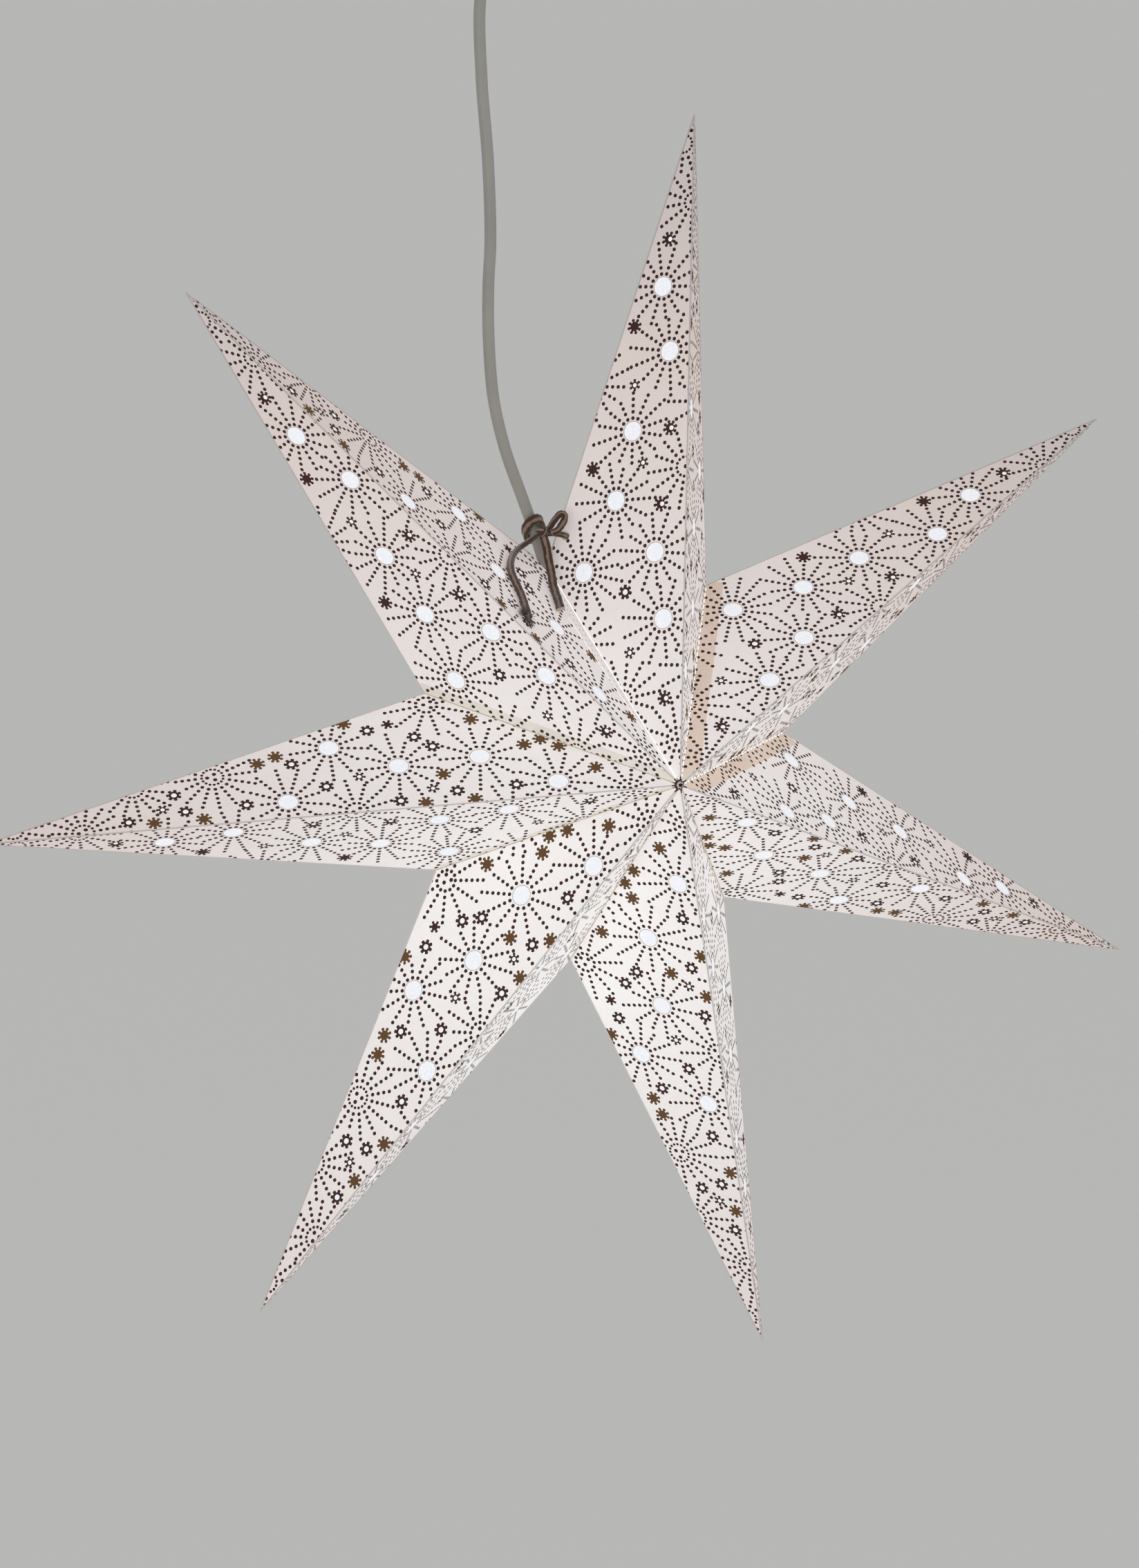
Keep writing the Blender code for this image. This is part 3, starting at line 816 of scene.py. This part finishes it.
def from_apex(apex, end, dashes):
    """A crease whose first few millimetres are inked dark, as painted shade where the paper is crumpled at
    the star's point.
    """
    length = (end - apex).length
    start = apex.lerp(end, CREASE_START / length)
    turn = apex.lerp(end, DARK_CREASE / length)
    return [(start, turn, [(INK, 1.0)]), (turn, end, dashes)]


def creases(arm, depth, side):
    """The beads that ride on a panel: its ridge, its edge or its valley."""
    apex = panel_axes(arm, depth, side)[0]
    beads = []
    if side == "left":
        beads += from_apex(apex, tip(arm), FOLDED)
    elif depth == "front" and arm in (0, 1):
        beads += from_apex(apex, valley(arm), PERFORATED)
    elif arm < ARMS - 1:
        beads += from_apex(apex, valley(arm), DIM_PERFORATED)
    elif depth == "front":
        opening = valley(arm)
        notch = opening.lerp(apex, CABLE_NOTCH / (apex - opening).length)
        # The fold at the open seam's notch is drawn bright as a painted highlight.
        beads += from_apex(apex, notch, BRIGHT_FOLD)
    if depth == "front":
        seam = (arm, side) in SEAM_PANELS
        hollow = valley(arm) if side == "right" else valley(arm - 1)
        start = hollow.lerp(tip(arm), CABLE_NOTCH / (tip(arm) - hollow).length) if seam else hollow
        end = tip(arm) if side == "left" else tip(arm).lerp(hollow, SHORT_EDGE)
        beads.append((start, end, FOLDED))
    return beads


def crumpled_point(depth, finish):
    """The crushed corners of paper that close the star's front or back point, in the dark ink as painted
    shade of the small hole there.
    """
    form = bmesh.new()
    bmesh.ops.create_icosphere(form, subdivisions=3, radius=POINT_RADIUS)
    for vert in form.verts:
        x, y, z = vert.co / POINT_RADIUS
        crush = 0.80 + 0.12 * sin(9 * x + 2 * z) + 0.08 * sin(13 * z - 5 * y)
        vert.co *= crush
    mesh = bpy.data.meshes.new("point")
    form.to_mesh(mesh)
    form.free()
    item = bpy.data.objects.new(f"paper_point_{depth}", mesh)
    mesh.materials.append(finish)
    item.location = panel_axes(0, depth, "left")[0]
    bpy.context.scene.collection.objects.link(item)
    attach(item, body_of(0, depth, "left"))


PAPER_GLOW = [(0.400, 0.410, 0.410), (0.290, 0.270, 0.265), (0.190, 0.130, 0.105), (0.020, 0.000, 0.000)]
# Weaker glow in the glue bands: painted shade of the flange behind.
BAND_GLOW = [(0.300, 0.230, 0.180), (0.200, 0.130, 0.090), (0.110, 0.055, 0.030), (0.030, 0.010, 0.000)]
FAINT_BAND_GLOW = [(0.300, 0.290, 0.245), (0.200, 0.185, 0.150), (0.110, 0.075, 0.050), (0.030, 0.015, 0.005)]
CREASE_GLOW = [(0.170, 0.170, 0.165), (0.120, 0.110, 0.105), (0.070, 0.050, 0.040), (0.020, 0.012, 0.010)]


def paper_finishes():
    """One finish for each material place, in order."""
    return [
        paper_material("printed_paper", (0.78, 0.74, 0.725), PAPER_GLOW),
        ink_material("ink_brown", (0.034, 0.017, 0.016), (0.020, 0.008, 0.006)),
        ink_material("ink_bronze", (0.075, 0.042, 0.021), (0.055, 0.028, 0.011)),
        # Glue bands: darker paper and weaker glow, painted shade of the flange behind.
        paper_material("flange_shadow_paper", (0.76, 0.68, 0.62), BAND_GLOW),
        inner_material(),
        # Grey of the window rims and the flange's faint dots: painted shade.
        crease_material("rim_and_ghost_dot_shade", (0.42, 0.40, 0.38), (0.12, 0.12, 0.12)),
        # Crease paper: darker than the sheet, painted shade in the folds, with a weaker glow.
        paper_material("crease", (0.58, 0.54, 0.52), CREASE_GLOW),
        # Bright crease: painted lamplight in the slits and painted highlight on the folds; dim crease: weaker
        # painted light with painted shade.
        crease_material("lit_crease", (0.90, 0.90, 0.88), (0.85, 0.84, 0.82)),
        crease_material("dim_lit_crease", (0.55, 0.46, 0.38), (0.20, 0.15, 0.11)),
        paper_material("flange", (0.76, 0.73, 0.72), PAPER_GLOW),
        paper_material("faint_flange_shadow_paper", (0.74, 0.71, 0.67), FAINT_BAND_GLOW),
    ]


def panel_print(prints, arm, depth, side):
    """The ink, openings and glue band of one panel, with the open seam's own additions."""
    ink, openings = prints[side]
    at_seam = (arm, side) in SEAM_PANELS
    openings = [o for o in openings if inside_panel(o, at_seam)]
    front_seam = at_seam and depth == "front"
    if front_seam and side == "left":
        return ink, openings, [circle(TIE_HOLE, TIE_HOLE_RADIUS, 24)], None
    if front_seam:
        return ink + seam_flange(), openings, [], None
    if side == "right" or depth == "back" or at_seam:
        return ink, openings, [], None
    place, width = GLUE_BANDS[arm]
    return ink, openings, [], (place, band_outline(width))


def paper_star():
    finishes = paper_finishes()
    tissue = tissue_material()
    prints = {
        "left": layout(LEFT_WINDOWS, LEFT_BURSTS, RIGHT_WINDOWS, LEFT_FLOWERS, BURST_CENTRES["left"]),
        "right": layout(RIGHT_WINDOWS, RIGHT_BURSTS, LEFT_WINDOWS, RIGHT_FLOWERS, BURST_CENTRES["right"]),
    }
    crumpled_point("front", finishes[INK])
    crumpled_point("back", finishes[INK])
    sheets = {}
    for arm in range(ARMS):
        for depth in ("front", "back"):
            for side in ("left", "right"):
                ink, openings, punched, band = panel_print(prints, arm, depth, side)
                at_seam = (arm, side) in SEAM_PANELS
                key = (side, at_seam, len(ink), len(punched), bool(band) and GLUE_BANDS[arm])
                if key not in sheets:
                    sheets[key] = panel_sheet(panel_outline(at_seam), ink, openings + punched, band)
                axes = panel_axes(arm, depth, side)
                node = f"arm_{arm + 1}_{depth}_{side}"
                mesh = panel_mesh(node, sheets[key], axes, creases(arm, depth, side))
                piece(f"paper_{arm + 1}_{depth}_{side}", mesh, body_of(arm, depth, side),
                      finishes, [node])
                piece(f"tissue_{arm + 1}_{depth}_{side}", tissue_mesh(node, axes, openings),
                      body_of(arm, depth, side), [tissue])


# Tie cord

LEFT_TAIL = [
    (-0.0336, -0.0074, 0.1072), (-0.0362, -0.0080, 0.1060), (-0.0403, -0.0092, 0.1039),
    (-0.0457, -0.0110, 0.1013), (-0.0515, -0.0170, 0.0988), (-0.0563, -0.0254, 0.0956),
    (-0.0580, -0.0314, 0.0919), (-0.0577, -0.0366, 0.0874), (-0.0578, -0.0422, 0.0830),
    (-0.0589, -0.0493, 0.0781), (-0.0596, -0.0534, 0.0752),
]
RIGHT_TAIL = [
    (-0.0323, -0.0078, 0.1066), (-0.0316, -0.0082, 0.1039), (-0.0306, -0.0080, 0.1006),
    (-0.0299, -0.0084, 0.0956), (-0.0296, -0.0108, 0.0898), (-0.0310, -0.0166, 0.0839),
    (-0.0322, -0.0239, 0.0789), (-0.0333, -0.0298, 0.0749),
]
LOOP = [
    (-0.0308, -0.0074, 0.1083), (-0.0288, -0.0076, 0.1098), (-0.0273, -0.0078, 0.1120),
    (-0.0255, -0.0080, 0.1143), (-0.0236, -0.0084, 0.1160), (-0.0219, -0.0090, 0.1153),
    (-0.0226, -0.0098, 0.1129), (-0.0245, -0.0105, 0.1106), (-0.0264, -0.0109, 0.1086),
    (-0.0290, -0.0104, 0.1075),
]
STAY_START = [(-0.0305, -0.0054, 0.1070), (-0.0292, -0.0052, 0.1066), (-0.0262, -0.0056, 0.1068)]


def suede_material():
    """Velvety lace, with painted shade along its two rounded edges and a paler painted highlight in the
    groove of each face.
    """
    graph = Graph("suede", Roughness=0.95, Specular_IOR_Level=0.1, Sheen_Weight=0.5)
    edge = graph.tree.nodes.new("ShaderNodeAttribute")
    edge.attribute_name = "edge"
    nap = graph.noise(1900.0, 4.0, 0.7)
    streaks = graph.maths("MULTIPLY", graph.maths("SUBTRACT", graph.noise(420.0, 3.0), 0.5), 0.9)
    share = graph.maths("ADD", edge.outputs["Fac"], streaks)
    # The edge attribute sets painted shade at the edges and a painted highlight mid-face.
    tone = graph.ramp(share, [(0.14, (0.34, 0.24, 0.185)), (0.46, (0.050, 0.026, 0.015))])
    graph.plug(graph.mix(graph.maths("MULTIPLY", nap, 0.34), tone, (0.15, 0.09, 0.055)), "Base Color")
    graph.bump(nap, 0.00025, 0.8)
    return graph.made


def cut_end_material():
    graph = Graph("suede_cut", Roughness=0.9)
    nap = graph.noise(1500.0, 3.0)
    graph.plug(graph.mix(nap, (0.46, 0.33, 0.27), (0.66, 0.53, 0.46)), "Base Color")
    graph.bump(nap, 0.0002, 0.7)
    return graph.made


def carried(points, across, twist):
    """Directions across and out of a strip at each point, carried along it and turned evenly by the twist."""
    frames = []
    for k in range(len(points)):
        course = (points[min(k + 1, len(points) - 1)] - points[max(k - 1, 0)]).normalized()
        across = (across - course * across.dot(course)).normalized()
        turned = Matrix.Rotation(twist * k / (len(points) - 1), 3, course) @ across
        frames.append((turned, course.cross(turned)))
    return frames


def lace(form, points, frames, width=LACE_WIDTH, thickness=LACE_THICKNESS, closed=False):
    """A strip with round edges and grooved faces. Its edge attribute runs from 0 mid-face to 1 at an edge,
    and sets the suede's painted highlight and shade.
    """
    edge = form.verts.layers.float["edge"]
    rings = []
    for k, (place, (across, normal)) in enumerate(zip(points, frames)):
        swell = 0.5 * (1.0 + 0.04 * sin(2.3 * k) + 0.03 * sin(5.1 * k + 1.0))
        ring = []
        for n in range(LACE_SIDES):
            x, y = cos(tau * n / LACE_SIDES), sin(tau * n / LACE_SIDES)
            groove = 1.0 - 0.34 * max(0.0, 1.0 - abs(x) / 0.45)
            reach = across * (x * width * swell) + normal * (y * thickness * groove * swell)
            vert = form.verts.new(place + reach)
            vert[edge] = abs(x)
            ring.append(vert)
        rings.append(ring)
    following = rings[1:] + rings[:1] if closed else rings[1:]
    for ring, after in zip(rings, following):
        for n in range(LACE_SIDES):
            m = (n + 1) % LACE_SIDES
            form.faces.new((ring[n], ring[m], after[m], after[n])).smooth = True
    if not closed:
        form.faces.new(rings[0][::-1])
        form.faces.new(rings[-1]).material_index = 1


def lace_form():
    form = bmesh.new()
    form.verts.layers.float.new("edge")
    return form


def lace_piece(name, form, finishes, replaces=()):
    mesh = bpy.data.meshes.new(name)
    form.to_mesh(mesh)
    form.free()
    return piece(name, mesh, "hanging_star", finishes, replaces)


def strand(name, points, across, twist, finishes, replaces, width=LACE_WIDTH):
    form = lace_form()
    lace(form, points, carried(points, Vector(across), twist), width)
    return lace_piece(name, form, finishes, replaces)


def placed(route):
    return smooth_route([STAR_CENTRE + Vector(p) for p in route], LACE_STEP)


def fibre(form, root, course, length, radius):
    """A tapered hair of frayed suede."""
    side = course.orthogonal().normalized()
    other = course.cross(side)
    base = [form.verts.new(root + (side * cos(a) + other * sin(a)) * radius)
            for a in (0.0, tau / 3, 2 * tau / 3)]
    end = form.verts.new(root + course * length)
    edge = form.verts.layers.float["edge"]
    for vert in base + [end]:
        vert[edge] = 0.40
    form.faces.new(base[::-1])
    for k in range(3):
        form.faces.new((base[k], base[(k + 1) % 3], end))


def tuft(name, root, course, count, spread, longest, finishes):
    chance = Random(name)
    form = lace_form()
    for _ in range(count):
        lean = Vector((chance.uniform(-1, 1), chance.uniform(-1, 1), chance.uniform(-1, 1)))
        start = root + lean * 0.0011
        onward = (course + lean * spread).normalized()
        fibre(form, start, onward, longest * chance.uniform(0.45, 1.0), FIBRE_RADIUS)
    return lace_piece(name, form, finishes)


def hoop_frames():
    """Points and strip directions of the ring of lace round the cable, high in front and low behind."""
    forward = Vector((0.0, -1.0, 0.0))
    across = HOOP_AXIS.normalized().cross(forward)
    points = []
    frames = []
    for k in range(HOOP_STEPS):
        a = tau * k / HOOP_STEPS
        outward = across * cos(a) + forward * sin(a)
        course = (across * -sin(a) + forward * cos(a)) * HOOP_REACH + HOOP_AXIS * (HOOP_RISE * cos(a))
        course.normalize()
        points.append(HOOP_CENTRE + outward * HOOP_REACH + HOOP_AXIS * (HOOP_RISE * sin(a)))
        frames.append((outward.cross(course) * -1.0, outward))
    return points, frames


def knot_ring(form, axis, radius, width):
    axis = Vector(axis).normalized()
    side = axis.orthogonal().normalized()
    other = axis.cross(side)
    angles = [tau * k / WRAP_STEPS for k in range(WRAP_STEPS)]
    outward = [side * cos(a) + other * sin(a) for a in angles]
    points = [KNOT + o * radius for o in outward]
    lace(form, points, [(-axis, o) for o in outward], width, WRAP_THICKNESS, closed=True)


def tie_cord():
    finishes = [suede_material(), cut_end_material()]
    suede = finishes[:1] * 2
    form = lace_form()
    lace(form, *hoop_frames(), width=0.0046, thickness=0.0024, closed=True)
    lace_piece("tie_hoop", form, suede, ["tie_band"])
    form = lace_form()
    knot_ring(form, (0.35, 0.25, 0.90), 0.0021, 0.0027)
    knot_ring(form, (0.85, 0.20, -0.50), 0.0023, 0.0024)
    lace_piece("tie_knotted", form, suede, ["tie_knot"])
    strand("tie_looped", placed(LOOP), (0.1, -0.97, 0.15), radians(95.0), suede, ["tie_loop"], 0.0034)
    apex, u, v, out = panel_axes(0, "front", "left")
    hole = apex + u * (TIE_HOLE[0] * MM) + v * (TIE_HOLE[1] * MM)
    through = [hole + out * reach for reach in (0.0024, 0.0010, -0.0008, -0.0020)]
    stay = smooth_route([STAR_CENTRE + Vector(p) for p in STAY_START] + through, LACE_STEP)
    strand("tie_through_hole", stay, (0.0, 0.0, 1.0), 0.0, suede, ["tie_stay"], 0.0028)
    left = placed(LEFT_TAIL)
    right = placed(RIGHT_TAIL)
    left_tail = strand("tie_left", left, (0.1, -0.97, 0.15), radians(-20.0), suede, ["tie_tail_left"])
    right_tail = strand("tie_right", right, (0.91, -0.41, 0.0), radians(8.0), finishes,
                        ["tie_tail_right"], 0.0040)
    down = (left[-1] - left[-2]).normalized()
    frays = [
        tuft("tie_fray_end", left[-1], down, 64, 0.70, 0.0056, suede),
        tuft("tie_fray_side", left[-3], Vector((-0.75, -0.05, 0.62)), 40, 0.30, 0.0068, suede),
    ]


# Lamp and ceiling fitting

FITTING_FINISHES = {
    "holder_shell": ((0.70, 0.69, 0.65), (0.82, 0.81, 0.78), 900.0, 0.42, 0.0),
    "holder_porcelain": ((0.78, 0.76, 0.70), (0.88, 0.87, 0.82), 300.0, 0.30, 0.0),
    "brass_contacts": ((0.55, 0.38, 0.15), (0.78, 0.59, 0.28), 500.0, 0.34, 1.0),
    "bulb_nickel": ((0.55, 0.54, 0.51), (0.74, 0.73, 0.70), 700.0, 0.30, 1.0),
    "bulb_vitrite": ((0.015, 0.015, 0.018), (0.05, 0.05, 0.055), 400.0, 0.15, 0.0),
    "bulb_stem_glass": ((0.70, 0.72, 0.70), (0.86, 0.88, 0.86), 260.0, 0.10, 0.0),
    "cup_enamel": ((0.76, 0.75, 0.73), (0.85, 0.84, 0.82), 220.0, 0.30, 0.0),
    "bracket_zinc": ((0.45, 0.46, 0.46), (0.68, 0.68, 0.66), 350.0, 0.42, 1.0),
    "screw_steel": ((0.46, 0.45, 0.42), (0.70, 0.68, 0.64), 900.0, 0.34, 1.0),
    "terminal_nylon": ((0.74, 0.74, 0.71), (0.86, 0.86, 0.84), 600.0, 0.48, 0.0),
    "grip_nylon": ((0.68, 0.67, 0.65), (0.82, 0.81, 0.79), 800.0, 0.45, 0.0),
}
FITTED_NODES = {
    "holder_body": "holder_shell", "holder_cap": "holder_shell", "holder_contact_block": "holder_porcelain",
    "holder_screw_shell": "brass_contacts", "holder_centre_contact": "brass_contacts",
    "holder_cord_clamp": "screw_steel", "bulb_cap": "bulb_nickel", "bulb_contact": "brass_contacts",
    "bulb_insulator": "bulb_vitrite", "bulb_stem": "bulb_stem_glass", "ceiling_cup": "cup_enamel",
    "ceiling_bracket": "bracket_zinc", "cup_screw_left": "screw_steel", "cup_screw_right": "screw_steel",
    "terminal_block": "terminal_nylon", "terminal_screw_live": "screw_steel",
    "terminal_screw_neutral": "screw_steel", "cord_grip": "grip_nylon", "cord_grip_nut": "grip_nylon",
    "swivel_ring": "bracket_zinc",
}


def mottled(name, dark, light, scale, roughness, metallic):
    graph = Graph(name, Metallic=metallic)
    fine = graph.noise(scale, 4.0, 0.6)
    broad = graph.noise(scale / 12.0, 2.0)
    graph.plug(graph.mix(graph.mix(0.5, fine, broad), dark, light), "Base Color")
    wear = graph.maths("MULTIPLY", graph.maths("SUBTRACT", broad, 0.5), 0.25)
    graph.plug(graph.maths("ADD", wear, roughness), "Roughness")
    graph.bump(fine, 0.00003, 0.5)
    return graph.made


def bulb_glass_material():
    graph = Graph("frosted_bulb", Base_Color=(0.93, 0.93, 0.91), Roughness=0.45)
    frost = graph.noise(1200.0, 3.0)
    near = graph.maths("MULTIPLY", graph.distance_from(BULB_MIDDLE), 1.0 / BULB_GLOW_REACH)
    glow = graph.ramp(near, [(0.35, (1.0, 0.97, 0.90)), (0.95, (0.66, 0.60, 0.50))])
    graph.plug(glow, "Emission Color")
    graph.set("Emission Strength", 1.4)
    graph.bump(frost, 0.00004, 0.5)
    return graph.made


def filament_material():
    graph = Graph("hot_filament", Base_Color=(0.3, 0.2, 0.1), Roughness=0.4, Metallic=1.0)
    heat = graph.noise(600.0, 2.0)
    graph.plug(graph.ramp(heat, [(0.3, (1.0, 0.62, 0.25)), (0.7, (1.0, 0.82, 0.50))]), "Emission Color")
    graph.set("Emission Strength", 6.0)
    return graph.made


def repaint(node, finish):
    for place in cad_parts[node].material_slots:
        place.material = finish


def lamp_and_fitting():
    made = {name: mottled(name, *look) for name, look in FITTING_FINISHES.items()}
    for node, name in FITTED_NODES.items():
        repaint(node, made[name])
    repaint("bulb_glass", bulb_glass_material())
    repaint("bulb_filament", filament_material())
    repaint("cable_in_cup", cable_material())


camera()
studio()
cable()
paper_star()
tie_cord()
lamp_and_fitting()
